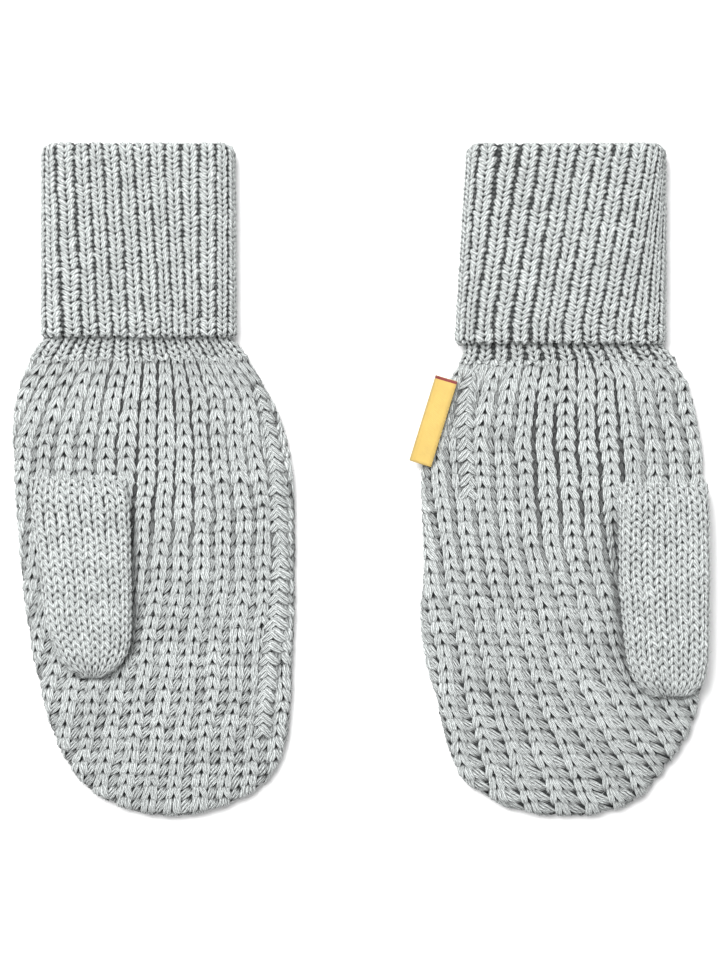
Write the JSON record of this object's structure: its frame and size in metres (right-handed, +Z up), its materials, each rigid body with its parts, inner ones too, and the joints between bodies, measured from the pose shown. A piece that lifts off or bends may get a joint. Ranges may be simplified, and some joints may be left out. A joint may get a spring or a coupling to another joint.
{
  "type": "pair of baby mittens",
  "caption": "Pair of chunky grey rib-knit baby mittens with turned-up cuffs and separate thumbs, laid flat, for a small child's hands.",
  "frame": {"origin": "on the surface that the mittens lie on, at the middle of the pair's outline", "axes": "+X from the left mitten to the right one as they lie, +Y from the finger tips to the cuffs, +Z up from the surface"},
  "size_m": [0.1745, 0.1689, 0.0122],
  "materials": {
    "grey_marl_yarn": "soft matt knitting yarn, light grey marl",
    "woven_tape": "satin woven tape, plain yellow"
  },
  "bodies": {
    "root": {"left_hand_palm": "grey_marl_yarn", "left_hand_back": "grey_marl_yarn", "left_cuff": "grey_marl_yarn", "left_thumb": "grey_marl_yarn", "right_hand_palm": "grey_marl_yarn", "right_hand_back": "grey_marl_yarn", "right_cuff": "grey_marl_yarn", "right_thumb": "grey_marl_yarn", "right_label": "woven_tape"}
  },
  "joints": []
}
